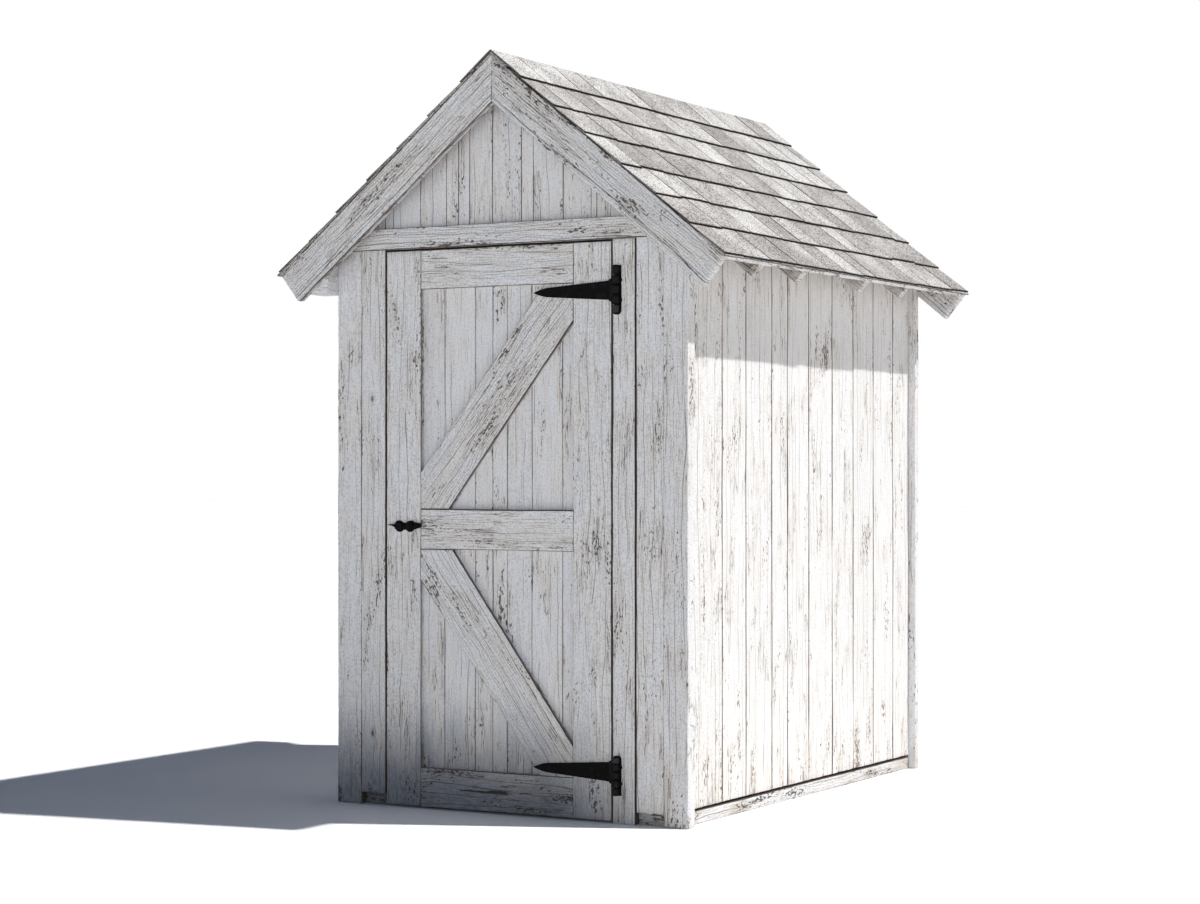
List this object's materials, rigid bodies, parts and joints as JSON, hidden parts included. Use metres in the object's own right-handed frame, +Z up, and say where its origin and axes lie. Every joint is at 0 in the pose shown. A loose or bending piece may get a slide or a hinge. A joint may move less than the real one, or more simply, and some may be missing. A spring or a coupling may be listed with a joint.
{
  "type": "garden shed",
  "caption": "Small gabled garden shed of upright white-painted boards with a braced plank door on black strap hinges and a shingled roof.",
  "frame": {"origin": "under the middle of the roof's outline, on the ground", "axes": "+X to the right as seen from outside the door, +Y from the door to the rear wall, +Z up"},
  "size_m": [1.668, 1.984, 2.4162],
  "materials": {
    "white_boards": "weathered white paint, flaking to grey wood along the grain",
    "bare_timber": "bare sawn timber, aged",
    "shingles": "weathered flat shingles with patchy limewash",
    "black_iron": "matt black forged iron"
  },
  "bodies": {
    "shed": {"base_frame": "bare_timber", "skirt_left": "white_boards", "skirt_right": "white_boards", "floor_deck": "bare_timber", "post_front_left": "white_boards", "post_front_right": "white_boards", "post_rear_left": "white_boards", "post_rear_right": "white_boards", "front_board_left": "white_boards", "front_board_right": "white_boards", "hinge_jamb": "white_boards", "front_frame": "bare_timber", "door_stop": "bare_timber", "door_header": "white_boards", "front_gable": "white_boards", "wall_left": "white_boards", "wall_right": "white_boards", "side_rails_left": "bare_timber", "side_rails_right": "bare_timber", "wall_rear": "white_boards", "rear_rails": "bare_timber", "ridge_board": "bare_timber", "rafters": "bare_timber", "roof_deck_left": "bare_timber", "roof_deck_right": "bare_timber", "shingles_left": "shingles", "shingles_right": "shingles", "barge_front_left": "white_boards", "barge_front_right": "white_boards", "barge_rear_left": "white_boards", "barge_rear_right": "white_boards", "eave_blocks": "white_boards", "hinge_plate_upper": "black_iron", "hinge_plate_lower": "black_iron"},
    "door": {"door_boards": "white_boards", "door_stile_left": "white_boards", "door_stile_right": "white_boards", "door_rail_top": "white_boards", "door_rail_middle": "white_boards", "door_rail_bottom": "white_boards", "door_brace_upper": "white_boards", "door_brace_lower": "white_boards", "hinge_strap_upper": "black_iron", "hinge_strap_lower": "black_iron", "door_pull": "black_iron"}
  },
  "joints": [
    {"name": "door_swing", "type": "hinge", "parent": "shed", "child": "door", "pos_m": [0.405, -0.905, 0], "axis": [0, 0, 1], "range_deg": [0, 150]}
  ]
}
